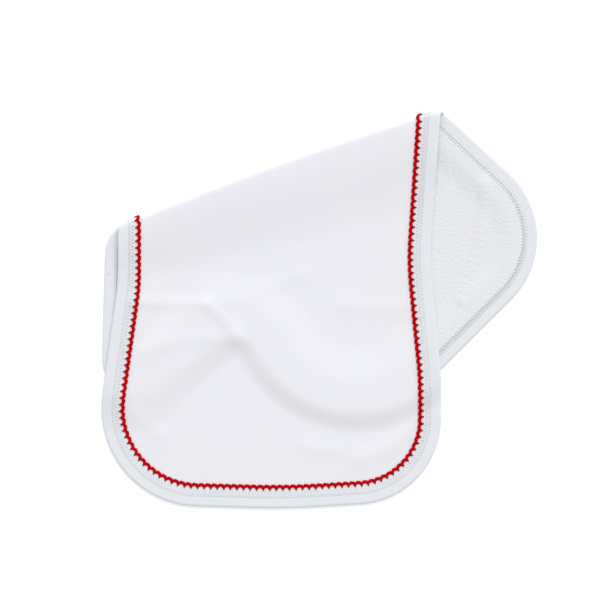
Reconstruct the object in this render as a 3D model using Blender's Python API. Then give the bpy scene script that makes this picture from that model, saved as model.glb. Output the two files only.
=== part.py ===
"""A burp cloth of fine white knit, bound all round and trimmed with red picot.

The cloth is an oblong with round ends, folded once on a slant and laid on a flat surface. Each
piece is worked out on the opened cloth first: u runs along the fold and v across it, with the
front layer at v < 0 and the back layer at v > 0. fold_cloth() then lays those points down as the
folded cloth lies. The trim is on the obverse, which faces up on the front layer and down on the
back one. Lengths are in metres, +Z is up, and the floor is at z = 0.
"""

import math
from collections import namedtuple

import bpy
import numpy as np
from mathutils import Vector
from mathutils.geometry import delaunay_2d_cdt
from mathutils.kdtree import KDTree

MM = 0.001

# Thickness of the pieces, each measured from the middle of the cloth
PANEL_HALF = 0.6 * MM
PIECE_GAP = 0.3 * MM
LEG_THICK = 0.5 * MM
POCKET_HALF = PANEL_HALF + PIECE_GAP
BINDING_HALF = POCKET_HALF + LEG_THICK
TRIM_THICK = 0.8 * MM
TRIM_GAP = 0.4 * MM
TRIM_BASE = BINDING_HALF + TRIM_GAP
TRIM_TOP = TRIM_BASE + TRIM_THICK

# Distances inwards from the cloth's edge
NOSE = 0.9 * MM
POCKET_END = 6.5 * MM
RAW_EDGE = 6.8 * MM
REVERSE_LEG = 9.8 * MM
OBVERSE_LEG = 15.2 * MM
TRIM_LINE = 15.4 * MM
TRIM_WIDTH = 4.8 * MM
TRIM_BAND = 3.3 * MM
TRIM_CHAMFER = 0.5 * MM
PICOTS = 260

# The fold, seen from above
FOLD_ANGLE = math.radians(19.85)
FOLD_POINT = np.array((-25.9, 109.2)) * MM
FOLD_RADIUS = 3.2 * MM
FOLD_BOW = 3.2 * MM
FOLD_BOW_CENTRE = -6 * MM
FOLD_BOW_HALF = 121 * MM
FOLD_BOW_FADE = 40 * MM
FOLD_LEFT = -150 * MM
FOLD_RIGHT = 127 * MM
FOLD_END_DROP = 2.7 * MM
FOLD_END_LENGTH = 4 * MM
FOLD_END_FADE = 8 * MM
ALONG = np.array((math.cos(FOLD_ANGLE), math.sin(FOLD_ANGLE)))
OUTWARD = np.array((-math.sin(FOLD_ANGLE), math.cos(FOLD_ANGLE)))
ROLL_LENGTH = FOLD_RADIUS * math.pi / 2

# Heights of the middle of the cloth
FOLD_HEIGHT = 8.2 * MM
LOFT_START = 5 * MM
LOFT_END_RIGHT = 78 * MM
LOFT_END_LEFT = 46 * MM
STEP_HEIGHT = 3.9 * MM
STEP_REACH_LEFT = 36 * MM
STEP_REACH_RIGHT = 19 * MM
LAYER_HEIGHT = 1.9 * MM

# A corner of the edge, where the folded cloth shows it, with the radius that rounds it
EdgeCorner = namedtuple("EdgeCorner", "layer x y radius")
EDGE_CORNERS = (
    EdgeCorner("front", -153.2, 17.8, 150),
    EdgeCorner("front", -165.4, -70.1, 110),
    EdgeCorner("front", -165.1, -147.4, 74),
    EdgeCorner("front", -26.1, -151.3, 600),
    EdgeCorner("front", 92.8, -143.9, 65),
    EdgeCorner("front", 92.2, -49.6, 200),
    EdgeCorner("front", 83.9, 36.0, 200),
    EdgeCorner("front", 90.0, 128.4, 150),
    EdgeCorner("back", 98.5, 146.2, 30),
    EdgeCorner("back", 194.5, 56.4, 66),
    EdgeCorner("back", 11.4, -126.1, 82),
    EdgeCorner("back", -58.0, -8.0, 22),
    EdgeCorner("back", -166.0, -80.0, 22),
    EdgeCorner("back", -162.8, 58.4, 19),
    EdgeCorner("back", -151.0, 63.6, 2),
)
EDGE_STEP = 0.5 * MM
EDGE_SOFTEN = 6

# A soft ridge in a layer, from its start past its bend to its end
Ridge = namedtuple("Ridge", "layer start bend end width height")
RIDGES = (
    Ridge("back", (125, 95), (126, 56), (108, 8), 4.5, 1.3),
    Ridge("front", (-142, 6), (-112, 4), (-88, 5), 5, 0.8),
    Ridge("front", (-134, -32), (-104, -20), (-66, -22), 6, 0.6),
    Ridge("front", (-84, 4), (-76, -3), (-60, -22), 5, 0.8),
    Ridge("front", (-68, 4), (-41, 18), (-13, 26), 6, 0.4),
    Ridge("front", (19, 3), (44, -2), (72, 1), 7, 0.5),
    Ridge("front", (-12, -104), (0, -108), (12, -106), 6, 0.5),
    Ridge("front", (30, -113), (58, -106), (76, -84), 7, 0.8),
    Ridge("front", (-140, -78), (-132, -88), (-120, -96), 6, 0.5),
)

# Sizes of the facets
LONGEST_SIDE = 11 * MM
SHORTEST_SIDE = 1.5 * MM
FLATNESS = 0.14 * MM
LEAST_BEND = 0.001 / MM
FINE_PITCH = 8 * MM
FINE_SAG = 0.4 * MM
SLOPE_STEP = 0.2 * MM
ROLL_PARTS = 3

WHITE_KNIT = (0.86, 0.87, 0.90)
WHITE_BINDING = (0.80, 0.82, 0.86)
RED_YARN = (0.47, 0.004, 0.008)


def smooth(value, start, end):
    """0 up to start, 1 from end on, and a soft curve between them."""
    share = np.clip((value - start) / (end - start), 0, 1)
    return share * share * (3 - 2 * share)


def opened(corner):
    """The corner's place on the opened cloth."""
    place = np.array((corner.x, corner.y)) * MM - FOLD_POINT
    behind = -(place @ OUTWARD) + ROLL_LENGTH - FOLD_RADIUS
    return np.array((place @ ALONG, -behind if corner.layer == "front" else behind))


def rounded(corners, radii):
    """A closed line through corners, each rounded by its radius."""
    points = []
    for index, corner in enumerate(corners):
        before = corners[index - 1] - corner
        after = corners[(index + 1) % len(corners)] - corner
        before /= np.linalg.norm(before)
        after /= np.linalg.norm(after)
        half = math.acos(np.clip(before @ after, -1, 1)) / 2
        middle_way = (before + after) / np.linalg.norm(before + after)
        centre = corner + middle_way * radii[index] / math.sin(half)
        tangent = radii[index] / math.tan(half)
        first = corner + before * tangent - centre
        last = corner + after * tangent - centre
        for turn in np.linspace(0, 1, 24):
            arm = first * (1 - turn) + last * turn
            points.append(centre + arm * radii[index] / np.linalg.norm(arm))
    return np.array(points)


def evenly(loop, step):
    """The closed line again, with its points about one step apart."""
    closed = np.vstack((loop, loop[:1]))
    travelled = np.concatenate(((0,), np.cumsum(np.linalg.norm(np.diff(closed, axis=0), axis=1))))
    places = np.linspace(0, travelled[-1], round(travelled[-1] / step), endpoint=False)
    return np.stack([np.interp(places, travelled, closed[:, axis]) for axis in (0, 1)], axis=1)


def softened(loop, reach):
    """The closed line with each point moved to the mean of its neighbours within reach."""
    return sum(np.roll(loop, shift, axis=0) for shift in range(-reach, reach + 1)) / (2 * reach + 1)


class EdgeLine:
    """A line of points that tells how far other points lie on its left."""

    def __init__(self, line):
        self.line = line
        self.tree = KDTree(len(line))
        for index, point in enumerate(line):
            self.tree.insert((*point, 0), index)
        self.tree.balance()

    def inset(self, points):
        nearest = np.array([self.tree.find((*point, 0))[1] for point in points])
        best = np.full(len(points), np.inf)
        for side in (-1, 0):
            start = self.line[(nearest + side) % len(self.line)]
            run = self.line[(nearest + side + 1) % len(self.line)] - start
            share = np.clip(((points - start) * run).sum(axis=1) / (run * run).sum(axis=1), 0, 1)
            away = points - start - run * share[:, None]
            left = run[:, 0] * away[:, 1] - run[:, 1] * away[:, 0]
            distance = np.copysign(np.hypot(away[:, 0], away[:, 1]), left)
            best = np.where(np.abs(distance) < np.abs(best), distance, best)
        return best


def cut_outline():
    """The edge of the opened cloth, anticlockwise, with a point every EDGE_STEP."""
    corners = [opened(corner) for corner in EDGE_CORNERS]
    loop = rounded(corners, [corner.radius * MM for corner in EDGE_CORNERS])
    return evenly(softened(evenly(loop, EDGE_STEP), EDGE_SOFTEN), EDGE_STEP)


def inward_normals(loop):
    run = np.roll(loop, -2, axis=0) - np.roll(loop, 2, axis=0)
    run /= np.linalg.norm(run, axis=1)[:, None]
    return np.stack((-run[:, 1], run[:, 0]), axis=1)


def back_edge(outline):
    """The back layer's edge seen from above, carried a little past the fold at both ends."""
    kept = np.flatnonzero(outline[:, 1] > -25 * MM)
    first = np.flatnonzero(np.diff(kept) > 1)
    order = np.roll(kept, -(first[0] + 1)) if len(first) else kept
    along, across = outline[order].T
    behind = across - ROLL_LENGTH + FOLD_RADIUS
    return (FOLD_POINT + np.outer(along, ALONG) - np.outer(behind, OUTWARD))[::-1]


OUTLINE = cut_outline()
INWARD = inward_normals(OUTLINE)
CLOTH_EDGE = EdgeLine(OUTLINE)
BACK_EDGE = EdgeLine(back_edge(OUTLINE))


def seen_from_above(points):
    """Plan places of points of the opened cloth, and how far each lies inside the fold's line."""
    along, across = points.T
    turn = np.clip(np.abs(across) / FOLD_RADIUS, 0, math.pi / 2)
    inside = FOLD_RADIUS * (1 - np.cos(turn)) + np.maximum(np.abs(across) - ROLL_LENGTH, 0)
    bow = FOLD_BOW * (1 - ((along - FOLD_BOW_CENTRE) / FOLD_BOW_HALF) ** 2)
    left_end = np.exp(-np.maximum(along - FOLD_LEFT, 0) / FOLD_END_LENGTH)
    right_end = np.exp(-np.maximum(FOLD_RIGHT - along, 0) / FOLD_END_LENGTH)
    drop = FOLD_END_DROP * (left_end + right_end)
    moved = inside - bow * np.exp(-(across / FOLD_BOW_FADE) ** 2)
    moved += drop * np.exp(-(across / FOLD_END_FADE) ** 2)
    return FOLD_POINT + np.outer(along, ALONG) - np.outer(moved, OUTWARD), inside


def ridge_height(layer, plan):
    """Height that the layer's ridges add at plan places."""
    total = np.zeros(len(plan))
    share = np.linspace(0, 1, 17)[:, None]
    for ridge in RIDGES:
        if ridge.layer == layer:
            start, bend, end = (np.array(place) * MM for place in (ridge.start, ridge.bend, ridge.end))
            route = start * (1 - share) ** 2 + bend * 2 * share * (1 - share) + end * share**2
            away = np.linalg.norm(plan[:, None] - route[None], axis=2).min(axis=1)
            total += ridge.height * MM * np.exp(-((away / (ridge.width * MM)) ** 2))
    return total


def back_height(inset):
    """Middle of the back layer: flat on the floor, and raised where the trim lies under it."""
    over_trim = TRIM_TOP + 0.05 * MM
    height = BINDING_HALF + (over_trim - BINDING_HALF) * smooth(inset, RAW_EDGE, 12.6 * MM)
    return height - (over_trim - PANEL_HALF) * smooth(inset, 18.3 * MM, 36 * MM)


def front_height(plan, inset, inside, along):
    """Middle of the front layer: on the floor, up over the back layer, and lofted at the fold."""
    under = BACK_EDGE.inset(plan)
    reach = STEP_REACH_LEFT + (STEP_REACH_RIGHT - STEP_REACH_LEFT) * smooth(plan[:, 0], -150 * MM, -45 * MM)
    height = STEP_HEIGHT * smooth(under, -reach, -1 * MM)
    height -= (STEP_HEIGHT - LAYER_HEIGHT) * smooth(under, 18 * MM, 48 * MM)
    height += BINDING_HALF - (BINDING_HALF - PANEL_HALF) * smooth(inset, 10 * MM, 22 * MM)
    height += ridge_height("front", plan)
    across_cloth = (along - FOLD_LEFT) / (FOLD_RIGHT - FOLD_LEFT)
    loft_end = LOFT_END_LEFT + (LOFT_END_RIGHT - LOFT_END_LEFT) * across_cloth
    return height + (FOLD_HEIGHT - height) * (1 - smooth(inside, LOFT_START, loft_end))


def middle(points):
    """World places of points of the opened cloth, in the middle of its thickness."""
    plan, inside = seen_from_above(points)
    inset = CLOTH_EDGE.inset(points)
    back = back_height(inset) + ridge_height("back", plan)
    front = front_height(plan, inset, inside, points[:, 0])
    turn = np.clip(points[:, 1] / FOLD_RADIUS, -math.pi / 2, math.pi / 2)
    height = back + (front - back) * (1 - np.sin(turn)) / 2
    return np.column_stack((plan, height))


def fold_cloth(points, height):
    """World places of points of the opened cloth, at a height over its middle on the obverse."""
    step_u = np.array((SLOPE_STEP, 0))
    step_v = np.array((0, SLOPE_STEP))
    run_u = middle(points + step_u) - middle(points - step_u)
    run_v = middle(points + step_v) - middle(points - step_v)
    normal = np.cross(run_u, run_v)
    normal /= np.linalg.norm(normal, axis=1)[:, None]
    return middle(points) + normal * height


def at_edge(places, inset):
    """Points of the opened cloth at places along its edge, each moved inwards by inset."""
    marks = np.arange(len(OUTLINE) + 1)
    point, normal = (
        np.stack([np.interp(places, marks, np.append(line[:, axis], line[0, axis])) for axis in (0, 1)], axis=1)
        for line in (OUTLINE, INWARD)
    )
    return point + normal * np.reshape(inset, (-1, 1))


def edge_stations():
    """Places along the edge, closer together where the laid edge bends."""
    marks = np.arange(len(OUTLINE))
    density = np.zeros(len(marks))
    for inset in (0, OBVERSE_LEG):
        line = middle(at_edge(marks, inset))
        ahead = np.roll(line, -2, axis=0) - line
        behind = line - np.roll(line, 2, axis=0)
        length = (np.linalg.norm(ahead, axis=1) + np.linalg.norm(behind, axis=1)) / 2
        bend = np.linalg.norm(ahead - behind, axis=1) / length**2 + LEAST_BEND
        side = np.clip(np.sqrt(8 * FLATNESS / bend), SHORTEST_SIDE, LONGEST_SIDE)
        density = np.maximum(density, length / 2 / side)
    density = np.max([np.roll(density, shift) for shift in range(-3, 4)], axis=0)
    count = np.concatenate(((0,), np.cumsum(density)))
    total = math.ceil(count[-1])
    return np.interp(np.arange(total) * count[-1] / total, count, np.arange(len(count)))


def strip(first, second, cross):
    """Triangles between two closed rows of vertices; cross takes the other diagonal."""
    triangles = []
    for index in range(len(first)):
        after = (index + 1) % len(first)
        a, b, c, d = first[index], first[after], second[after], second[index]
        triangles += ((a, b, d), (b, c, d)) if cross else ((a, b, c), (a, c, d))
    return triangles


def sag(points, reach):
    """How far the laid cloth bends from straight within reach of each point."""
    here = middle(points)
    worst = np.zeros(len(points))
    for step in ((reach, 0), (0, reach), (reach, reach), (reach, -reach)):
        ends = middle(points + np.array(step)) + middle(points - np.array(step))
        worst = np.maximum(worst, np.linalg.norm(ends / 2 - here, axis=1))
    return worst


def inner_points():
    """Points inside the panel: rows along the fold, closer where the cloth bends."""
    roll_rows = [ROLL_LENGTH * share for share in (-1, -2 / 3, -1 / 3, 0, 1 / 3, 2 / 3, 1)]
    flat_rows = np.arange(1, 60) * FINE_PITCH + ROLL_LENGTH
    rows = [*(-flat_rows[::-1]), *roll_rows, *flat_rows]
    columns = np.arange(-40, 40)
    kept = []
    for index, across in enumerate(rows):
        row = np.column_stack(((columns + index % 2 / 2) * FINE_PITCH, np.full(len(columns), across)))
        on_roll = abs(across) <= ROLL_LENGTH + FINE_PITCH
        coarse = (index % 2 == 0) & (columns % 2 == index // 2 % 2)
        row_inset = CLOTH_EDGE.inset(row)
        near = (row_inset > OBVERSE_LEG + FINE_PITCH * 0.6) & (np.abs(row[:, 0]) < 300 * MM)
        bends = sag(row, FINE_PITCH) > FINE_SAG
        kept.append(row[near & (on_roll | bends | coarse)])
    return np.vstack(kept)


def new_material(name, colour, roughness):
    material = bpy.data.materials.new(name)
    material.use_nodes = True
    shader = material.node_tree.nodes["Principled BSDF"]
    shader.inputs["Base Color"].default_value = (*colour, 1)
    shader.inputs["Roughness"].default_value = roughness
    shader.inputs["Metallic"].default_value = 0
    return material


def new_object(name, vertices, triangles, material):
    mesh = bpy.data.meshes.new(name)
    mesh.from_pydata([tuple(vertex) for vertex in vertices], [], triangles)
    mesh.materials.append(material)
    mesh.shade_smooth()
    mesh.set_sharp_from_angle(angle=math.radians(50))
    thing = bpy.data.objects.new(name, mesh)
    bpy.context.scene.collection.objects.link(thing)
    return thing


def make_panel(stations, material):
    """The knit body: one sheet, its raw edge tucked into the binding."""
    rings = [at_edge(stations, inset) for inset in (RAW_EDGE, REVERSE_LEG, OBVERSE_LEG)]
    size = len(stations)
    inside = inner_points()
    within = np.vstack((rings[-1], inside))
    ring_sides = [(index, (index + 1) % size) for index in range(size)]
    flat = [Vector(point / MM) for point in within]
    _, _, faces, origins, _, _ = delaunay_2d_cdt(flat, ring_sides, [], 1, 0.001)
    shift = 2 * size
    triangles = [tuple(shift + origins[corner][0] for corner in face) for face in faces]
    for ring in (0, 1):
        outer = range(ring * size, (ring + 1) * size)
        inner = range((ring + 1) * size, (ring + 2) * size)
        triangles += strip(outer, inner, cross=False)
    points = np.vstack((rings[0], rings[1], within))
    obverse = fold_cloth(points, PANEL_HALF)
    reverse = fold_cloth(points, -PANEL_HALF)
    count = len(points)
    turned = [(count + c, count + b, count + a) for a, b, c in triangles]
    rim = strip(range(count, count + size), range(size), cross=False)
    return new_object("panel", np.vstack((obverse, reverse)), triangles + turned + rim, material)


def make_binding(stations, material):
    """The knit strip folded over the panel's raw edge, as one ring with a pocket for the panel."""
    nose_half = BINDING_HALF * 0.8
    section = (
        (NOSE, nose_half),
        (RAW_EDGE, BINDING_HALF),
        (REVERSE_LEG, BINDING_HALF),
        (OBVERSE_LEG, BINDING_HALF),
        (OBVERSE_LEG, POCKET_HALF),
        (REVERSE_LEG, POCKET_HALF),
        (POCKET_END, POCKET_HALF),
        (POCKET_END, -POCKET_HALF),
        (REVERSE_LEG, -POCKET_HALF),
        (REVERSE_LEG, -BINDING_HALF),
        (RAW_EDGE, -BINDING_HALF),
        (NOSE, -nose_half),
        (0, 0),
    )
    size = len(stations)
    vertices = [fold_cloth(at_edge(stations, inset), height) for inset, height in section]
    triangles = []
    for index, (inset, _) in enumerate(section):
        after = (index + 1) % len(section)
        first = range(index * size, (index + 1) * size)
        second = range(after * size, (after + 1) * size)
        triangles += strip(first, second, cross=inset > section[after][0])
    return new_object("binding", np.vstack(vertices), triangles, material)


def trim_stations():
    """Places along the edge for the trim, and how far each has swelled from a point to an arch.

    A picot has two places, evenly spaced on the trim's own line, and more where it turns with the
    fold's roll.
    """
    marks = np.arange(len(OUTLINE) + 1)
    line = at_edge(marks, TRIM_LINE)
    travelled = np.concatenate(((0,), np.cumsum(np.linalg.norm(np.diff(line, axis=0), axis=1))))
    side = travelled[-1] / (2 * PICOTS)
    sides = np.arange(2 * PICOTS)
    across = np.interp((sides + 0.5) * side, travelled, line[:, 1])
    parts = np.where(np.abs(across) < ROLL_LENGTH + side, ROLL_PARTS, 1)
    steps = np.concatenate([index + np.arange(count) / count for index, count in zip(sides, parts)])
    return np.interp(steps * side, travelled, marks), 1 - np.abs(steps % 2 - 1)


def make_trim(material):
    """The red picot edging: arches that bulge inwards, with a point outwards between them."""
    stations, swell = trim_stations()
    size = len(stations)
    inner = TRIM_LINE + TRIM_WIDTH / 2 - (TRIM_WIDTH - TRIM_BAND) * (1 - swell)
    outer = TRIM_LINE - TRIM_WIDTH / 2 + (TRIM_WIDTH - TRIM_BAND) * swell
    section = (
        (outer, TRIM_BASE),
        (outer + TRIM_CHAMFER, TRIM_TOP),
        (inner - TRIM_CHAMFER, TRIM_TOP),
        (inner, TRIM_BASE),
    )
    vertices = [fold_cloth(at_edge(stations, inset), height) for inset, height in section]
    triangles = []
    for index in range(len(section)):
        after = (index + 1) % len(section)
        first = range(index * size, (index + 1) * size)
        second = range(after * size, (after + 1) * size)
        triangles += strip(first, second, cross=False)
    return new_object("picot_trim", np.vstack(vertices), triangles, material)


def main():
    for thing in list(bpy.data.objects):
        bpy.data.objects.remove(thing)
    stations = edge_stations()
    make_panel(stations, new_material("white_knit", WHITE_KNIT, 0.9))
    make_binding(stations, new_material("white_binding", WHITE_BINDING, 0.85))
    make_trim(new_material("red_yarn", RED_YARN, 0.6))


main()
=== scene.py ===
"""The looks of the burp cloth: its knit body, bound edge, cover stitching and red picot trim.

Each piece is worked out on the opened cloth, as its solid was: u runs along the fold and v across
it, with the front layer at v < 0 and the back layer at v > 0. fold_cloth() lays points down as the
folded cloth lies. Lengths are in metres, and MM turns millimetres into them.
"""

import math  # noqa: E402
from collections import namedtuple  # noqa: E402

import bpy  # noqa: E402
import numpy as np  # noqa: E402
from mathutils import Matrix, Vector, noise  # noqa: E402
from mathutils.geometry import delaunay_2d_cdt  # noqa: E402
from mathutils.kdtree import KDTree  # noqa: E402

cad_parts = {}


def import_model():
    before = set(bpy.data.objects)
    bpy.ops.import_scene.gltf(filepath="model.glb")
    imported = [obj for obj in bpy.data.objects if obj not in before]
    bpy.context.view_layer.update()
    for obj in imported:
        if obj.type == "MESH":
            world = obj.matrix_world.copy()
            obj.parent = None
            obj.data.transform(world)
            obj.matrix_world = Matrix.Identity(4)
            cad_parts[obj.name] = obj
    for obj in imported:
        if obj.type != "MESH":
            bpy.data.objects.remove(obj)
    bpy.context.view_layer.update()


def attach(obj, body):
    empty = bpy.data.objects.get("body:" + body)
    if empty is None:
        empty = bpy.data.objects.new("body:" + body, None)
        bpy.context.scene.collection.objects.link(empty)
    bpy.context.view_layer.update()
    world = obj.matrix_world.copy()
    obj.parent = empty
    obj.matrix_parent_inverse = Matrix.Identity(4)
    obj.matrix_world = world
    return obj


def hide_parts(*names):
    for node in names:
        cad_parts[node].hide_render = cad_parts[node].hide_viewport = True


MM = 0.001

# Thickness of the pieces, each measured from the middle of the cloth
PANEL_HALF = 0.6 * MM
BINDING_HALF = 1.4 * MM
POCKET_HALF = 0.65 * MM
TRIM_TOP = 2.6 * MM

# Distances inwards from the cloth's edge
POCKET_END = 2.0 * MM
LEVEL_START = 6.8 * MM
LEVEL_END = 12.6 * MM
FRONT_SINK = (10 * MM, 22 * MM)
BACK_SINK = (18.3 * MM, 36 * MM)
REVERSE_LEG = 9.8 * MM
OBVERSE_LEG = 15.2 * MM
TRIM_LINE = 15.4 * MM
PICOTS = 260

# The fold, seen from above
FOLD_ANGLE = math.radians(19.85)
FOLD_POINT = np.array((-25.9, 109.2)) * MM
FOLD_RADIUS = 3.2 * MM
FOLD_BOW = 3.2 * MM
FOLD_BOW_CENTRE = -6 * MM
FOLD_BOW_HALF = 121 * MM
FOLD_BOW_FADE = 40 * MM
FOLD_LEFT = -150 * MM
FOLD_RIGHT = 127 * MM
FOLD_END_DROP = 2.7 * MM
FOLD_END_LENGTH = 4 * MM
FOLD_END_FADE = 8 * MM
ALONG = np.array((math.cos(FOLD_ANGLE), math.sin(FOLD_ANGLE)))
OUTWARD = np.array((-math.sin(FOLD_ANGLE), math.cos(FOLD_ANGLE)))
ROLL_LENGTH = FOLD_RADIUS * math.pi / 2

# Heights of the middle of the cloth
FOLD_HEIGHT = 8.2 * MM
LOFT_START = 5 * MM
LOFT_END_RIGHT = 78 * MM
LOFT_END_LEFT = 46 * MM
STEP_HEIGHT = 3.9 * MM
STEP_REACH_LEFT = 36 * MM
STEP_REACH_RIGHT = 19 * MM
LAYER_HEIGHT = 1.9 * MM
TRIM_GAP = 0.05 * MM

# Where the step's reach changes along +X, and distances inside the back layer's edge
STEP_SIDES = (-150 * MM, -45 * MM)
STEP_TOP = -1 * MM
BEHIND_STEP = (18 * MM, 48 * MM)

# A corner of the edge, where the folded cloth shows it, with the radius that rounds it
EdgeCorner = namedtuple("EdgeCorner", "layer x y radius")
EDGE_CORNERS = (
    EdgeCorner("front", -153.2, 17.8, 150),
    EdgeCorner("front", -165.4, -70.1, 110),
    EdgeCorner("front", -165.1, -147.4, 74),
    EdgeCorner("front", -26.1, -151.3, 600),
    EdgeCorner("front", 92.8, -143.9, 65),
    EdgeCorner("front", 92.2, -49.6, 200),
    EdgeCorner("front", 83.9, 36.0, 200),
    EdgeCorner("front", 90.0, 128.4, 150),
    EdgeCorner("back", 98.5, 146.2, 30),
    EdgeCorner("back", 194.5, 56.4, 66),
    EdgeCorner("back", 11.4, -126.1, 82),
    EdgeCorner("back", -58.0, -8.0, 22),
    EdgeCorner("back", -166.0, -80.0, 22),
    EdgeCorner("back", -162.8, 58.4, 19),
    EdgeCorner("back", -151.0, 63.6, 2),
)
EDGE_STEP = 0.5 * MM
EDGE_SOFTEN = 6
CORNER_POINTS = 24
PAST_FOLD = 25 * MM
NORMAL_STEP = 0.2 * MM

# A soft ridge in a layer, or a trough where its height is below 0, past its bend to its end
Ridge = namedtuple("Ridge", "layer start bend end width height")
RIDGES = (
    Ridge("back", (125, 95), (126, 56), (108, 8), 4.5, 1.3),
    Ridge("front", (-142, 6), (-112, 4), (-88, 5), 5, 0.8),
    Ridge("front", (-134, -32), (-104, -20), (-66, -22), 6, 0.6),
    Ridge("front", (-84, 4), (-76, -3), (-60, -22), 5, 0.8),
    Ridge("front", (-68, 4), (-41, 18), (-13, 26), 6, 0.4),
    Ridge("front", (19, 3), (44, -2), (72, 1), 7, 0.5),
    Ridge("front", (-12, -104), (0, -108), (12, -106), 6, 0.5),
    Ridge("front", (30, -113), (58, -106), (76, -84), 7, 0.8),
    Ridge("front", (-140, -78), (-132, -88), (-120, -96), 6, 0.5),
)
RIDGE_POINTS = 17
WAVE_LENGTH = 38 * MM
WAVE_HEIGHT = 0.12 * MM
WAVE_BASE = 0.75
WAVE_FADE = 12 * MM

# The panel's facets
PANEL_PITCH = 2.2 * MM
PANEL_REACH = 330 * MM
PANEL_COLUMNS = 95
ROLL_PITCH = 0.9 * MM
ROLL_MARGIN = 3 * MM
PANEL_STATION = 2.0 * MM
PANEL_RINGS = (2.5, 4.3, 6.1, 8.0, 9.8, 11.6, 13.4, 15.2)

# Shares of the panel's pitch: the first row past the roll, a row, and the way in from the last ring
FIRST_ROW = 0.7
ROW_SHARE = 0.87
RING_MARGIN = 0.6

# The binding's facets, and the way it puckers along its seam
BINDING_STATION = 1.25 * MM
BINDING_NOSE = 2.2 * MM
NEEDLE_ROWS = (8.0 * MM, 12.0 * MM)
STITCH_LENGTH = 2.5 * MM
SEAM_SINK = 0.2 * MM
SEAM_SINK_WIDTH = 1.0 * MM
NET_SINK = 0.25
NET_SINK_WIDTH = 1.7 * MM
SHARP_ANGLE = math.radians(50)
LEG_PRESS = 0.2 * MM
LEG_PRESS_WIDTH = 2.4 * MM
PUCKER_LENGTH = 6.5 * MM
PUCKER_HEIGHT = 0.16 * MM
PUCKER_START = 4 * MM
PUCKER_MARGIN = 2 * MM

# The threads of the cover stitch
THREAD_RADIUS = 0.2 * MM
COVER_PER_STITCH = 2

# The picot trim: a plait of strands in arches, with a small loop out of each point
STRANDS = 3
STRAND_RADIUS = 0.58 * MM
PLAIT_WIDTH = 0.8 * MM
PLAIT_HEIGHT = 0.14 * MM
PLAITS_PER_PICOT = 1
ARCH_HEIGHT = 1.7 * MM
ARCH_POINT = -0.5 * MM
ARCH_ROUNDNESS = 0.8
STEPS_PER_PICOT = 12
TRIM_HEIGHT = 1.9 * MM
TRIM_SAG = 0.6 * MM
TRIM_SAG_SPAN = (-0.4 * MM, 1.4 * MM)
LOOP_RADIUS = 0.5 * MM
LOOP_TIP = 0.7
LOOP_LENGTH = 2.0 * MM
LOOP_HALF = 0.3 * MM
LOOP_ROOT = 0.4 * MM
LOOP_SINK = 0.1 * MM
LOOP_POINTS = 9

# Ways of a cover thread through one stitch: how far ahead, and how far across between the rows
NET_WAY = ((0.0, 0.0), (0.12, 0.0), (0.5, 1.0), (0.62, 1.0))
LADDER_WAY = ((0.0, 0.0), (0.3, 0.0), (0.42, 0.5), (0.5, 1.0), (0.8, 1.0), (0.9, 0.5))

# Colours, as shares of red, green and blue light
OBVERSE_DARK = (0.845, 0.853, 0.90)
OBVERSE_LIGHT = (0.875, 0.88, 0.925)
REVERSE_DARK = (0.80, 0.81, 0.845)
REVERSE_LIGHT = (0.85, 0.857, 0.89)
BINDING_DARK = (0.79, 0.82, 0.86)
BINDING_LIGHT = (0.82, 0.85, 0.89)
# Thread and yarn colours run from dark in the grooves between plies to light on their crowns: painted shade
THREAD_DARK = (0.76, 0.77, 0.81)
THREAD_LIGHT = (0.86, 0.87, 0.90)
# The deepest red colours only the loops, as a darker copy of the yarn: painted shade on the loops
RED_LOOP_PAINTED_SHADE = (0.20, 0.0, 0.006)
RED_DARK = (0.42, 0.0, 0.004)
RED_LIGHT = (0.66, 0.0, 0.005)

# A small mark on the reverse of the binding, in its left strip
MARK_PLACE = (-159.5 * MM, 26.9 * MM)
MARK_RADIUS = 0.9 * MM
MARK_SHADE = (0.52, 0.54, 0.57)

# The surface under the cloth
FLOOR_SIZE = 6.0
FLOOR_GAP = 0.05 * MM
FLOOR_COLOUR = (0.85, 0.85, 0.85, 1)
FLOOR_GLOW = 0.28

# Light
FILL_STRENGTH = 0.62
KEY_STRENGTH = 1.75
KEY_WIDTH = math.radians(40)
KEY_TILT = math.radians(48)
KEY_TURN = math.radians(-14)

# What the photograph's frame shows, at the cloth
FRAME_CENTRE = (-14.8 * MM, 7.2 * MM)
FRAME_LEVEL = 5 * MM
FRAME_WIDTH = 454.6 * MM
CAMERA_HEIGHT = 2.4
SENSOR_WIDTH = 36


def smooth(value, start, end):
    """0 up to start, 1 from end on, and a soft curve between them."""
    share = np.clip((value - start) / (end - start), 0, 1)
    return share * share * (3 - 2 * share)


def hump(value, centre, width):
    """1 at the centre, and fading to 0 past the width."""
    return np.exp(-(((value - centre) / width) ** 2))


def opened(corner):
    """The corner's place on the opened cloth."""
    place = np.array((corner.x, corner.y)) * MM - FOLD_POINT
    behind = -(place @ OUTWARD) + ROLL_LENGTH - FOLD_RADIUS
    return np.array((place @ ALONG, -behind if corner.layer == "front" else behind))


def rounded(corners, radii):
    """A closed line through corners, each rounded by its radius."""
    points = []
    for index, corner in enumerate(corners):
        before = corners[index - 1] - corner
        after = corners[(index + 1) % len(corners)] - corner
        before /= np.linalg.norm(before)
        after /= np.linalg.norm(after)
        half = math.acos(np.clip(before @ after, -1, 1)) / 2
        middle_way = (before + after) / np.linalg.norm(before + after)
        centre = corner + middle_way * radii[index] / math.sin(half)
        tangent = radii[index] / math.tan(half)
        first = corner + before * tangent - centre
        last = corner + after * tangent - centre
        for turn in np.linspace(0, 1, CORNER_POINTS):
            arm = first * (1 - turn) + last * turn
            points.append(centre + arm * radii[index] / np.linalg.norm(arm))
    return np.array(points)


def travelled(line):
    """How far along the line each of its points lies."""
    return np.concatenate(((0,), np.cumsum(np.linalg.norm(np.diff(line, axis=0), axis=1))))


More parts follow.
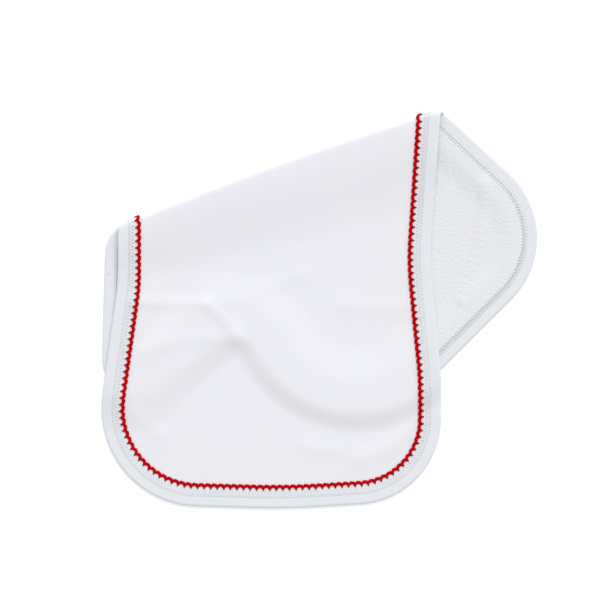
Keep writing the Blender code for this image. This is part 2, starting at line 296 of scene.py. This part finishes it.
def evenly(loop, step):
    """The closed line again, with its points about one step apart."""
    closed = np.vstack((loop, loop[:1]))
    run = travelled(closed)
    places = np.linspace(0, run[-1], round(run[-1] / step), endpoint=False)
    return np.stack([np.interp(places, run, closed[:, axis]) for axis in (0, 1)], axis=1)


def softened(loop, reach):
    """The closed line with each point moved to the mean of its neighbours within reach."""
    return sum(np.roll(loop, shift, axis=0) for shift in range(-reach, reach + 1)) / (2 * reach + 1)


class EdgeLine:
    """A line of points that tells how far other points lie on its left."""

    def __init__(self, line):
        self.line = line
        self.tree = KDTree(len(line))
        for index, point in enumerate(line):
            self.tree.insert((*point, 0), index)
        self.tree.balance()

    def inset(self, points):
        nearest = np.array([self.tree.find((*point, 0))[1] for point in points])
        best = np.full(len(points), np.inf)
        for side in (-1, 0):
            start = self.line[(nearest + side) % len(self.line)]
            run = self.line[(nearest + side + 1) % len(self.line)] - start
            share = np.clip(((points - start) * run).sum(axis=1) / (run * run).sum(axis=1), 0, 1)
            away = points - start - run * share[:, None]
            left = run[:, 0] * away[:, 1] - run[:, 1] * away[:, 0]
            distance = np.copysign(np.hypot(away[:, 0], away[:, 1]), left)
            best = np.where(np.abs(distance) < np.abs(best), distance, best)
        return best


def cut_outline():
    """The edge of the opened cloth, anticlockwise, with a point every EDGE_STEP."""
    corners = [opened(corner) for corner in EDGE_CORNERS]
    loop = rounded(corners, [corner.radius * MM for corner in EDGE_CORNERS])
    return evenly(softened(evenly(loop, EDGE_STEP), EDGE_SOFTEN), EDGE_STEP)


def inward_normals(loop):
    run = np.roll(loop, -2, axis=0) - np.roll(loop, 2, axis=0)
    run /= np.linalg.norm(run, axis=1)[:, None]
    return np.stack((-run[:, 1], run[:, 0]), axis=1)


def back_edge(outline):
    """The back layer's edge seen from above, carried a little past the fold at both ends."""
    kept = np.flatnonzero(outline[:, 1] > -PAST_FOLD)
    first = np.flatnonzero(np.diff(kept) > 1)
    order = np.roll(kept, -(first[0] + 1)) if len(first) else kept
    along, across = outline[order].T
    behind = across - ROLL_LENGTH + FOLD_RADIUS
    return (FOLD_POINT + np.outer(along, ALONG) - np.outer(behind, OUTWARD))[::-1]


OUTLINE = cut_outline()
INWARD = inward_normals(OUTLINE)
MARKS = np.arange(len(OUTLINE) + 1)
CLOTH_EDGE = EdgeLine(OUTLINE)
BACK_EDGE = EdgeLine(back_edge(OUTLINE))


def seen_from_above(points):
    """Plan places of points of the opened cloth, and how far each lies inside the fold's line."""
    along, across = points.T
    turn = np.clip(np.abs(across) / FOLD_RADIUS, 0, math.pi / 2)
    inside = FOLD_RADIUS * (1 - np.cos(turn)) + np.maximum(np.abs(across) - ROLL_LENGTH, 0)
    bow = FOLD_BOW * (1 - ((along - FOLD_BOW_CENTRE) / FOLD_BOW_HALF) ** 2)
    left_end = np.exp(-np.maximum(along - FOLD_LEFT, 0) / FOLD_END_LENGTH)
    right_end = np.exp(-np.maximum(FOLD_RIGHT - along, 0) / FOLD_END_LENGTH)
    drop = FOLD_END_DROP * (left_end + right_end)
    moved = inside - bow * np.exp(-((across / FOLD_BOW_FADE) ** 2))
    moved += drop * np.exp(-((across / FOLD_END_FADE) ** 2))
    return FOLD_POINT + np.outer(along, ALONG) - np.outer(moved, OUTWARD), inside


def ridge_height(layer, plan):
    """Height that the layer's ridges add at plan places."""
    total = np.zeros(len(plan))
    share = np.linspace(0, 1, RIDGE_POINTS)[:, None]
    for ridge in RIDGES:
        if ridge.layer == layer:
            start, bend, end = (np.array(place) * MM for place in (ridge.start, ridge.bend, ridge.end))
            route = start * (1 - share) ** 2 + bend * 2 * share * (1 - share) + end * share**2
            away = np.linalg.norm(plan[:, None] - route[None], axis=2).min(axis=1)
            total += ridge.height * MM * hump(away, 0, ridge.width * MM)
    return total


def waves(plan):
    """Soft unevenness of a layer, never downwards, and the same on every run."""
    lift = [WAVE_BASE + noise.noise((x / WAVE_LENGTH, y / WAVE_LENGTH, 0.5)) for x, y in plan]
    return WAVE_HEIGHT * np.maximum(lift, 0)


def back_height(inset):
    """Middle of the back layer: flat on the floor, and raised where the trim lies under it."""
    over_trim = TRIM_TOP + TRIM_GAP
    height = BINDING_HALF + (over_trim - BINDING_HALF) * smooth(inset, LEVEL_START, LEVEL_END)
    return height - (over_trim - PANEL_HALF) * smooth(inset, *BACK_SINK)


def front_height(plan, inset, inside, along):
    """Middle of the front layer: on the floor, up over the back layer, and lofted at the fold."""
    under = BACK_EDGE.inset(plan)
    reach = STEP_REACH_LEFT + (STEP_REACH_RIGHT - STEP_REACH_LEFT) * smooth(plan[:, 0], *STEP_SIDES)
    height = STEP_HEIGHT * smooth(under, -reach, STEP_TOP)
    height -= (STEP_HEIGHT - LAYER_HEIGHT) * smooth(under, *BEHIND_STEP)
    height += BINDING_HALF - (BINDING_HALF - PANEL_HALF) * smooth(inset, *FRONT_SINK)
    height += ridge_height("front", plan)
    across_cloth = (along - FOLD_LEFT) / (FOLD_RIGHT - FOLD_LEFT)
    loft_end = LOFT_END_LEFT + (LOFT_END_RIGHT - LOFT_END_LEFT) * across_cloth
    return height + (FOLD_HEIGHT - height) * (1 - smooth(inside, LOFT_START, loft_end))


def middle(points):
    """World places of points of the opened cloth, in the middle of its thickness."""
    plan, inside = seen_from_above(points)
    inset = CLOTH_EDGE.inset(points)
    back = back_height(inset) + ridge_height("back", plan)
    front = front_height(plan, inset, inside, points[:, 0])
    turn = np.clip(points[:, 1] / FOLD_RADIUS, -math.pi / 2, math.pi / 2)
    height = back + (front - back) * (1 - np.sin(turn)) / 2
    height += waves(plan) * smooth(inset, OBVERSE_LEG, OBVERSE_LEG + WAVE_FADE)
    return np.column_stack((plan, height))


def normals(points):
    """Which way the obverse faces, at points of the opened cloth."""
    step_u = np.array((NORMAL_STEP, 0))
    step_v = np.array((0, NORMAL_STEP))
    run_u = middle(points + step_u) - middle(points - step_u)
    run_v = middle(points + step_v) - middle(points - step_v)
    normal = np.cross(run_u, run_v)
    return normal / np.linalg.norm(normal, axis=1)[:, None]


def fold_cloth(points, height):
    """World places of points of the opened cloth, at a height over its middle on the obverse."""
    return middle(points) + normals(points) * np.reshape(height, (-1, 1))


def along_edge(places, line):
    """What a line, with one row for each mark of the edge, has at places along the edge."""
    closed = np.vstack((line, line[:1]))
    return np.stack([np.interp(places, MARKS, closed[:, axis]) for axis in (0, 1)], axis=1)


def at_edge(places, inset):
    """Points of the opened cloth at places along its edge, each moved inwards by inset."""
    return along_edge(places, OUTLINE) + along_edge(places, INWARD) * np.reshape(inset, (-1, 1))


def edge_run(*insets):
    """How far along the line at the inset each mark of the edge lies, or the mean for several lines."""
    return np.mean([travelled(at_edge(MARKS, inset)) for inset in insets], axis=0)


def stations(step, *insets):
    """Places along the edge, about one step apart on the lines at the insets."""
    run = edge_run(*insets)
    count = round(run[-1] / step)
    return np.interp(np.arange(count) / count * run[-1], run, MARKS)


SEAM_RUN = edge_run(*NEEDLE_ROWS)
SEAM_STITCHES = round(SEAM_RUN[-1] / STITCH_LENGTH)


def grid_faces(rows, columns, close_rows=True, close_columns=True):
    """Quads between the points of a grid, numbered row by row; a closed side joins its two ends."""
    row = np.arange(rows if close_rows else rows - 1)[:, None]
    column = np.arange(columns if close_columns else columns - 1)[None]
    below, beside = (row + 1) % rows, (column + 1) % columns
    here, there = row * columns, below * columns
    corners = (here + column, here + beside, there + beside, there + column)
    shape = (row.size, column.size)
    return np.stack([np.broadcast_to(corner, shape) for corner in corners], axis=-1).reshape(-1, 4)


def new_piece(name, vertices, faces, materials, replaces):
    """A smooth mesh that rides on the part and stands for the solids that it replaces."""
    mesh = bpy.data.meshes.new(name)
    mesh.from_pydata(vertices.tolist(), [], [tuple(face) for face in faces])
    for material in materials:
        mesh.materials.append(material)
    mesh.shade_smooth()
    piece = bpy.data.objects.new(name, mesh)
    bpy.context.scene.collection.objects.link(piece)
    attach(piece, "root")
    if replaces:
        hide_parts(replaces)
    return piece


def add_map(piece, places):
    """Gives the piece a map of places, in metres, for its materials to follow."""
    corners = np.zeros(len(piece.data.loops), np.int32)
    piece.data.loops.foreach_get("vertex_index", corners)
    layer = piece.data.uv_layers.new(name="cloth")
    layer.uv.foreach_set("vector", places[corners].astype(np.float32).ravel())


def grain(points):
    """Places on the opened cloth across and along its wales, which run down its length."""
    across = points @ np.array((math.cos(FOLD_ANGLE), -math.sin(FOLD_ANGLE)))
    down = points @ np.array((math.sin(FOLD_ANGLE), math.cos(FOLD_ANGLE)))
    return np.column_stack((across, down))


def panel_points():
    """Points of the panel inside its rings: rows along the fold, close together on its roll."""
    near = np.arange(0, ROLL_LENGTH + ROLL_MARGIN, ROLL_PITCH)
    far = np.arange(near[-1] + PANEL_PITCH * FIRST_ROW, PANEL_REACH, PANEL_PITCH * ROW_SHARE)
    rows = np.concatenate((-far[::-1], -near[:0:-1], near, far))
    columns = np.arange(-PANEL_COLUMNS, PANEL_COLUMNS + 1) * PANEL_PITCH
    shift = np.where(np.arange(len(rows)) % 2, PANEL_PITCH / 2, 0)
    grid = np.stack(np.broadcast_arrays(columns[None] + shift[:, None], rows[:, None]), axis=-1).reshape(-1, 2)
    low, high = OUTLINE.min(axis=0), OUTLINE.max(axis=0)
    grid = grid[((grid > low) & (grid < high)).all(axis=1)]
    return grid[CLOTH_EDGE.inset(grid) > OBVERSE_LEG + PANEL_PITCH * RING_MARGIN]


def make_panel(obverse_knit, reverse_knit):
    """The knit body: one sheet, its raw edge tucked into the binding."""
    places = stations(PANEL_STATION, OBVERSE_LEG)
    size = len(places)
    rings = [at_edge(places, inset * MM) for inset in PANEL_RINGS]
    within = np.vstack((rings[-1], panel_points()))
    ring_sides = [(index, (index + 1) % size) for index in range(size)]
    flat = [Vector(point / MM) for point in within]
    _, _, found, origins, _, _ = delaunay_2d_cdt(flat, ring_sides, [], 1, 0.001)
    shift = (len(rings) - 1) * size
    faces = [tuple(shift + origins[corner][0] for corner in face) for face in found]
    faces += [tuple(face) for face in grid_faces(len(rings), size, close_rows=False)]
    points = np.vstack((*rings[:-1], within))
    centre, normal = middle(points), normals(points)
    count = len(points)
    turned = [tuple(count + corner for corner in face[::-1]) for face in faces]
    rim = [(count + index, count + (index + 1) % size, (index + 1) % size, index) for index in range(size)]
    vertices = np.vstack((centre + normal * PANEL_HALF, centre - normal * PANEL_HALF))
    panel = new_piece(
        "knit_panel", vertices, faces + turned + rim, (obverse_knit, reverse_knit), "panel"
    )
    sides = np.zeros(len(panel.data.polygons), np.int32)
    sides[len(faces) : len(faces) + len(turned)] = 1
    panel.data.polygons.foreach_set("material_index", sides)
    add_map(panel, np.tile(grain(points), (2, 1)))
    return panel


def round_the_edge(places):
    """Places on a circle for places along the edge, a metre of edge to a metre of circle."""
    turn = places / len(OUTLINE) * 2 * math.pi
    radius = len(OUTLINE) * EDGE_STEP / (2 * math.pi)
    return np.column_stack((np.cos(turn), np.sin(turn))) * radius


def pucker(places, side):
    """Unevenness along the seam, from -1 to 1; each side of the binding has its own."""
    ring = round_the_edge(places) / PUCKER_LENGTH
    return np.array([noise.noise((x, y, side * 3.7)) for x, y in ring])


def stitch_phase(places):
    """How many stitches of the seam lie before places along the edge."""
    return np.interp(places, MARKS, SEAM_RUN) / SEAM_RUN[-1] * SEAM_STITCHES


def seam_places(phase):
    """Places along the edge for a count of the seam's stitches."""
    return np.interp(phase % SEAM_STITCHES / SEAM_STITCHES * SEAM_RUN[-1], SEAM_RUN, MARKS)


def binding_surface(places, inset, side):
    """Height of the binding's outside over the middle of the cloth, on the obverse or reverse side."""
    between = hump(inset, sum(NEEDLE_ROWS) / 2, NET_SINK_WIDTH)
    phase = stitch_phase(places) * 2 * math.pi
    sink = sum(hump(inset, row, SEAM_SINK_WIDTH) for row in NEEDLE_ROWS) * (0.8 + 0.2 * np.cos(phase))
    sink = SEAM_SINK * (sink + NET_SINK * between * (1 + np.cos(phase * COVER_PER_STITCH)))
    leg = OBVERSE_LEG if side > 0 else REVERSE_LEG
    sink += LEG_PRESS * smooth(inset, leg - LEG_PRESS_WIDTH, leg)
    seam = NEEDLE_ROWS[0]
    free = smooth(inset, 0, PUCKER_START) * (1 - smooth(inset, seam - PUCKER_MARGIN, seam))
    return BINDING_HALF - sink + PUCKER_HEIGHT * free * (pucker(places, side) - 0.5)


def binding_section():
    """The binding's points round its section: which side each is on, its inset and its height."""
    obverse = [(1, inset, None) for inset in np.linspace(OBVERSE_LEG, BINDING_NOSE, 25)]
    nose = [
        (0, BINDING_NOSE * (1 - math.sin(turn)), BINDING_HALF * math.cos(turn))
        for turn in np.linspace(0, math.pi, 11)[1:-1]
    ]
    reverse = [(-1, inset, None) for inset in np.linspace(BINDING_NOSE, REVERSE_LEG, 15)]
    pocket = [
        (0, REVERSE_LEG, -POCKET_HALF),
        (0, POCKET_END, -POCKET_HALF),
        (0, POCKET_END, POCKET_HALF),
        (0, REVERSE_LEG, POCKET_HALF),
        (0, OBVERSE_LEG, POCKET_HALF),
    ]
    return obverse + nose + reverse + pocket


def make_binding(knit):
    """The knit strip folded over the panel's raw edge, puckered a little by its seam."""
    places = stations(BINDING_STATION, 0, OBVERSE_LEG)
    size = len(places)
    rows, maps = [], []
    across = 0
    before = None
    for side, inset, height in binding_section():
        if side:
            height = side * binding_surface(places, inset, side)
        rows.append(fold_cloth(at_edge(places, inset), height))
        level = np.mean(height)
        across += 0 if before is None else math.hypot(inset - before[0], level - before[1])
        before = (inset, level)
        maps.append(np.column_stack((np.full(size, across), places * EDGE_STEP)))
    faces = [tuple(face[::-1]) for face in grid_faces(len(rows), size)]
    binding = new_piece("knit_binding", np.vstack(rows), faces, (knit,), "binding")
    binding.data.set_sharp_from_angle(angle=SHARP_ANGLE)
    add_map(binding, np.vstack(maps))
    return binding


def tubes(paths, up, radius, sides, closed):
    """Vertices, faces and map places of tubes along paths, an array of tubes by points by axes."""
    count, steps = paths.shape[:2]
    if closed:
        run = np.roll(paths, -1, axis=1) - np.roll(paths, 1, axis=1)
    else:
        run = np.gradient(paths, axis=1)
    run /= np.linalg.norm(run, axis=2)[..., None]
    beside = np.cross(run, up)
    beside /= np.linalg.norm(beside, axis=2)[..., None]
    over = np.cross(beside, run)
    turn = np.arange(sides) / sides * 2 * math.pi
    ring = np.cos(turn)[:, None] * beside[:, :, None] + np.sin(turn)[:, None] * over[:, :, None]
    vertices = paths[:, :, None] + ring * np.reshape(radius, (*np.shape(radius), *(1,) * (4 - np.ndim(radius))))
    one = grid_faces(steps, sides, close_rows=closed)
    faces = (one[None] + np.arange(count)[:, None, None] * steps * sides).reshape(-1, 4)
    lengths = np.linalg.norm(np.diff(paths, axis=1), axis=2)
    along = np.concatenate((np.zeros((count, 1)), np.cumsum(lengths, axis=1)), axis=1)
    places = np.stack(np.broadcast_arrays(turn[None, None] / (2 * math.pi), along[:, :, None]), axis=-1)
    faces = [tuple(face) for face in faces]
    if not closed:
        for index in range(count):
            first = index * steps * sides
            last = first + (steps - 1) * sides
            faces.append(tuple(range(first, first + sides))[::-1])
            faces.append(tuple(range(last, last + sides)))
    return vertices.reshape(-1, 3), faces, places.reshape(-1, 2)


def joined(parts):
    """Several sets of vertices, faces and map places as one."""
    vertices, faces, places = [], [], []
    shift = 0
    for part_vertices, part_faces, part_places in parts:
        vertices.append(part_vertices)
        faces += [tuple(corner + shift for corner in face) for face in part_faces]
        places.append(part_places)
        shift += len(part_vertices)
    return np.vstack(vertices), faces, np.vstack(places)


def laid_tubes(phase, inset, height, radius, sides, closed):
    """Tubes whose centres lie at stitch phases, insets and heights, arrays of tubes by points."""
    flat = at_edge(seam_places(phase).ravel(), inset.ravel())
    up = normals(flat)
    centre = middle(flat) + up * height.reshape(-1, 1)
    shape = (*phase.shape, 3)
    return tubes(centre.reshape(shape), up.reshape(shape), radius, sides, closed)


def seam_surface(places, inset, side):
    """Height of what the seam's threads lie on: the binding, and past its reverse leg the panel."""
    height = binding_surface(places, inset, side)
    if side > 0:
        return height
    past = smooth(inset, REVERSE_LEG - 0.1 * MM, REVERSE_LEG + 0.7 * MM)
    return height + (PANEL_HALF - height) * past


def make_needle_threads(thread):
    """The two rows of short stitches on the obverse."""
    along = np.linspace(0.1, 0.9, 5)
    lift = np.array((-0.25, 0.1, 0.16, 0.1, -0.25)) * MM
    parts = []
    for row in NEEDLE_ROWS:
        phase = np.arange(SEAM_STITCHES)[:, None] + along
        inset = np.full(phase.shape, row)
        surface = seam_surface(seam_places(phase).ravel(), inset.ravel(), 1)
        height = surface.reshape(phase.shape) + lift
        parts.append(laid_tubes(phase, inset, height, THREAD_RADIUS, 6, closed=False))
    vertices, faces, places = joined(parts)
    piece = new_piece("needle_threads", vertices, faces, (thread,), None)
    add_map(piece, places)
    return piece


def make_cover_threads(thread):
    """The threads that run to and fro between the needle rows: a net on the obverse, a ladder behind."""
    parts = []
    low, high = NEEDLE_ROWS
    for side, shape in ((1, NET_WAY), (-1, LADDER_WAY)):
        ahead, across = np.array(shape).T
        phase = (np.arange(SEAM_STITCHES)[:, None] + ahead).reshape(1, -1)
        inset = np.tile(low + (high - low) * across, SEAM_STITCHES).reshape(1, -1)
        surface = seam_surface(seam_places(phase).ravel(), inset.ravel(), side).reshape(phase.shape)
        height = side * (surface + THREAD_RADIUS * 0.7)
        parts.append(laid_tubes(phase, inset, height, THREAD_RADIUS, 6, closed=True))
    vertices, faces, places = joined(parts)
    piece = new_piece("cover_threads", vertices, faces, (thread,), None)
    add_map(piece, places)
    return piece


def trim_places(turns):
    """Places along the edge for a count of picots."""
    run = edge_run(TRIM_LINE)
    return np.interp(turns % PICOTS / PICOTS * run[-1], run, MARKS)


def arch_inset(turns):
    """Inset of the middle of the arches: round inwards, and meeting in points outwards."""
    bulge = np.abs(np.sin(turns * math.pi)) ** ARCH_ROUNDNESS
    return TRIM_LINE + ARCH_POINT + ARCH_HEIGHT * bulge


def make_plait():
    """The plaited strands of the arches."""
    turns = np.arange(PICOTS * STEPS_PER_PICOT) / STEPS_PER_PICOT
    inset = arch_inset(turns)
    flat = at_edge(trim_places(turns), inset)
    up = normals(flat)
    start, end = (OBVERSE_LEG + way for way in TRIM_SAG_SPAN)
    height = TRIM_HEIGHT - TRIM_SAG * smooth(inset, start, end)
    centre = middle(flat) + up * height[:, None]
    run = np.roll(centre, -1, axis=0) - np.roll(centre, 1, axis=0)
    beside = np.cross(run, up)
    beside /= np.linalg.norm(beside, axis=1)[:, None]
    paths = []
    for strand in range(STRANDS):
        phase = (turns * PLAITS_PER_PICOT + strand / STRANDS) * 2 * math.pi
        sideways = PLAIT_WIDTH * np.sin(phase)[:, None]
        paths.append(centre + beside * sideways + up * PLAIT_HEIGHT * np.sin(2 * phase)[:, None])
    return tubes(np.array(paths), np.array([up] * STRANDS), STRAND_RADIUS, 6, closed=True)


def make_loops():
    """The small loops that stand out of the points between the arches."""
    turn = np.linspace(0, 1, LOOP_POINTS)
    out = LOOP_LENGTH * np.sin(turn * math.pi) ** 0.8
    beside = LOOP_HALF * np.cos(turn * math.pi)
    step = edge_run(TRIM_LINE)[-1] / PICOTS
    turns = np.arange(PICOTS)[:, None] + beside / step
    inset = TRIM_LINE + ARCH_POINT + LOOP_ROOT - np.broadcast_to(out, turns.shape)
    flat = at_edge(trim_places(turns.ravel()), inset.ravel())
    up = normals(flat)
    centre = middle(flat) + up * (TRIM_HEIGHT - LOOP_SINK)
    shape = (*turns.shape, 3)
    thinner = LOOP_RADIUS * (1 - (1 - LOOP_TIP) * np.sin(turn * math.pi))
    radius = np.broadcast_to(thinner, turns.shape)
    return tubes(centre.reshape(shape), up.reshape(shape), radius, 6, closed=False)


def make_trim(yarn, painted_shade_loop_yarn):
    """The red picot edging over the binding's inner edge; its loops wear a darker copy of the yarn, which is
    painted shade.
    """
    plait, loops = make_plait(), make_loops()
    vertices, faces, places = joined((plait, loops))
    piece = new_piece("red_picot", vertices, faces, (yarn, painted_shade_loop_yarn), "picot_trim")
    index = np.zeros(len(faces), np.int32)
    # The loops take the second material, the yarn's painted-shade copy
    index[len(plait[1]) :] = 1
    piece.data.polygons.foreach_set("material_index", index)
    add_map(piece, places)
    return piece


class Graph:
    """Adds nodes to a material, each fed by numbers or by other nodes' outputs."""

    def __init__(self, name):
        self.material = bpy.data.materials.new(name)
        self.material.use_nodes = True
        self.tree = self.material.node_tree
        self.shader = self.tree.nodes["Principled BSDF"]

    def node(self, kind, inputs, **settings):
        node = self.tree.nodes.new(kind)
        for key, value in settings.items():
            setattr(node, key, value)
        for key, value in inputs.items():
            self.feed(node.inputs[key], value)
        return node

    def feed(self, socket, value):
        if isinstance(value, bpy.types.NodeSocket):
            self.tree.links.new(value, socket)
        else:
            socket.default_value = value

    def math(self, operation, *values):
        return self.node("ShaderNodeMath", dict(enumerate(values)), operation=operation).outputs[0]

    def cloth_map(self):
        """The two places of the piece's own map."""
        place = self.node("ShaderNodeUVMap", {}, uv_map="cloth").outputs["UV"]
        parts = self.node("ShaderNodeSeparateXYZ", {"Vector": place})
        return place, parts.outputs["X"], parts.outputs["Y"]

    def noise(self, place, scale, detail):
        inputs = {"Vector": place, "Scale": scale, "Detail": detail, "Roughness": 0.6}
        return self.node("ShaderNodeTexNoise", inputs).outputs["Fac"]

    def tint(self, amount, dark, light):
        """A colour between dark and light."""
        inputs = {"Factor": amount, 6: (*dark, 1), 7: (*light, 1)}
        return self.node("ShaderNodeMix", inputs, data_type="RGBA").outputs[2]

    def bump(self, height, distance, strength):
        inputs = {"Height": height, "Distance": distance, "Strength": strength}
        self.feed(self.shader.inputs["Normal"], self.node("ShaderNodeBump", inputs).outputs["Normal"])

    def marked(self, colour, place, radius, shade):
        """The colour with a small round mark at a place seen from above."""
        seat = self.node("ShaderNodeTexCoord", {}).outputs["Object"]
        level = self.node("ShaderNodeVectorMath", {0: seat, 1: (1, 1, 0)}, operation="MULTIPLY").outputs[0]
        ends = {0: level, 1: (*place, 0)}
        away = self.node("ShaderNodeVectorMath", ends, operation="DISTANCE").outputs["Value"]
        amount = self.math("SMOOTH_MIN", self.math("DIVIDE", away, radius), 1, 0.5)
        inputs = {"Factor": amount, 6: (*shade, 1), 7: colour}
        return self.node("ShaderNodeMix", inputs, data_type="RGBA").outputs[2]

    def finish(self, colour, roughness, sheen, specular=0.2):
        self.feed(self.shader.inputs["Base Color"], colour)
        self.shader.inputs["Roughness"].default_value = roughness
        self.shader.inputs["Sheen Weight"].default_value = sheen
        self.shader.inputs["Sheen Roughness"].default_value = 0.5
        self.shader.inputs["Specular IOR Level"].default_value = specular
        return self.material


def stitches(graph, across, along, wale, course):
    """Height of a plain knit: columns of V-shaped stitches."""
    column = graph.math("FRACT", graph.math("DIVIDE", across, wale))
    beside = graph.math("ABSOLUTE", graph.math("SUBTRACT", graph.math("MULTIPLY", column, 2), 1))
    slant = graph.math("MULTIPLY_ADD", beside, 0.6, graph.math("DIVIDE", along, course))
    leg = graph.math("SINE", graph.math("MULTIPLY", slant, 2 * math.pi))
    rib = graph.math("SUBTRACT", 1, graph.math("POWER", beside, 2))
    return graph.math("MULTIPLY", rib, graph.math("MULTIPLY_ADD", leg, 0.35, 0.65))


def obverse_knit():
    """Fine smooth knit, a touch uneven in tone."""
    graph = Graph("obverse_knit")
    place, across, along = graph.cloth_map()
    knit = stitches(graph, across, along, 0.85 * MM, 0.7 * MM)
    fuzz = graph.noise(place, 900, 3)
    graph.bump(graph.math("MULTIPLY_ADD", fuzz, 0.6, knit), 0.12 * MM, 0.6)
    mottle = graph.noise(place, 30, 2)
    return graph.finish(graph.tint(mottle, OBVERSE_DARK, OBVERSE_LIGHT), 0.9, 0.15)


def reverse_knit():
    """The softer side: small uneven loops of pile."""
    graph = Graph("reverse_knit")
    place, _, _ = graph.cloth_map()
    cells = graph.node("ShaderNodeTexVoronoi", {"Vector": place, "Scale": 620, "Randomness": 0.9})
    pile = graph.math("SUBTRACT", 1, cells.outputs["Distance"])
    fuzz = graph.noise(place, 1400, 4)
    graph.bump(graph.math("MULTIPLY_ADD", fuzz, 0.8, pile), 0.35 * MM, 0.8)
    mottle = graph.noise(place, 260, 3)
    return graph.finish(graph.tint(mottle, REVERSE_DARK, REVERSE_LIGHT), 1, 0.3)


def binding_knit():
    """Fine knit whose wales run along the strip, a touch bluer than the panel."""
    graph = Graph("binding_knit")
    place, across, along = graph.cloth_map()
    knit = stitches(graph, across, along, 0.7 * MM, 0.8 * MM)
    fuzz = graph.noise(place, 900, 3)
    graph.bump(graph.math("MULTIPLY_ADD", fuzz, 0.5, knit), 0.12 * MM, 0.6)
    colour = graph.tint(graph.noise(place, 90, 2), BINDING_DARK, BINDING_LIGHT)
    return graph.finish(graph.marked(colour, MARK_PLACE, MARK_RADIUS, MARK_SHADE), 0.85, 0.15)


def twisted(name, dark, light, radius, twist, sheen, specular):
    """Yarn or thread of twisted plies, coloured dark in the grooves between the plies and light on their
    crowns, which is painted shade; its map has the turn round it, and the way along it.
    """
    graph = Graph(name)
    place, turn, along = graph.cloth_map()
    slant = graph.math("MULTIPLY_ADD", turn, 2, graph.math("DIVIDE", along, twist))
    ply = graph.math("ABSOLUTE", graph.math("SINE", graph.math("MULTIPLY", slant, math.pi)))
    graph.bump(ply, radius * 0.5, 0.8)
    # Painted shade: the colour follows the plies' height, darker in their grooves
    return graph.finish(graph.tint(ply, dark, light), 0.6, sheen, specular)


def make_floor():
    """A plain pale surface under the cloth."""
    mesh = bpy.data.meshes.new("floor")
    half = FLOOR_SIZE / 2
    corners = [(-half, -half, 0), (half, -half, 0), (half, half, 0), (-half, half, 0)]
    mesh.from_pydata(corners, [], [(0, 1, 2, 3)])
    floor = bpy.data.objects.new("floor", mesh)
    floor.location.z = -FLOOR_GAP
    bpy.context.scene.collection.objects.link(floor)
    material = bpy.data.materials.new("floor_paper")
    material.use_nodes = True
    shader = material.node_tree.nodes["Principled BSDF"]
    shader.inputs["Base Color"].default_value = FLOOR_COLOUR
    shader.inputs["Roughness"].default_value = 0.9
    shader.inputs["Emission Color"].default_value = (1, 1, 1, 1)
    shader.inputs["Emission Strength"].default_value = FLOOR_GLOW
    mesh.materials.append(material)
    return floor


def make_light():
    """Soft even light from all round, and a broad key light from the far side, a little to the right."""
    world = bpy.data.worlds.new("studio")
    bpy.context.scene.world = world
    world.use_nodes = True
    world.node_tree.nodes["Background"].inputs["Color"].default_value = (1, 1, 1, 1)
    world.node_tree.nodes["Background"].inputs["Strength"].default_value = FILL_STRENGTH
    lamp = bpy.data.lights.new("key", "SUN")
    lamp.energy = KEY_STRENGTH
    lamp.angle = KEY_WIDTH
    key = bpy.data.objects.new("key", lamp)
    key.rotation_euler = (-KEY_TILT, 0, KEY_TURN)
    bpy.context.scene.collection.objects.link(key)


def make_camera():
    """A camera straight above, with the photograph's framing."""
    lens = bpy.data.cameras.new("camera")
    lens.sensor_width = SENSOR_WIDTH
    lens.lens = SENSOR_WIDTH * CAMERA_HEIGHT / FRAME_WIDTH
    camera = bpy.data.objects.new("camera", lens)
    camera.location = (*FRAME_CENTRE, CAMERA_HEIGHT + FRAME_LEVEL)
    bpy.context.scene.collection.objects.link(camera)
    bpy.context.scene.camera = camera


def main():
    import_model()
    make_camera()
    panel = make_panel(obverse_knit(), reverse_knit())
    binding = make_binding(binding_knit())
    thread = twisted("white_thread", THREAD_DARK, THREAD_LIGHT, THREAD_RADIUS, 0.9 * MM, 0.1, 0.2)
    yarn = twisted("red_yarn", RED_DARK, RED_LIGHT, STRAND_RADIUS, 1.6 * MM, 0, 0.05)
    # Painted shade: the loops take a darker copy of the red yarn
    painted_shade_loop_yarn = twisted("red_loop_yarn_painted_shade", RED_LOOP_PAINTED_SHADE, RED_DARK, LOOP_RADIUS, 1.6 * MM, 0, 0.05)
    threads = [make_needle_threads(thread), make_cover_threads(thread)]
    trim = make_trim(yarn, painted_shade_loop_yarn)
    floor = make_floor()
    make_light()
    bpy.context.scene.view_settings.view_transform = "Standard"


main()
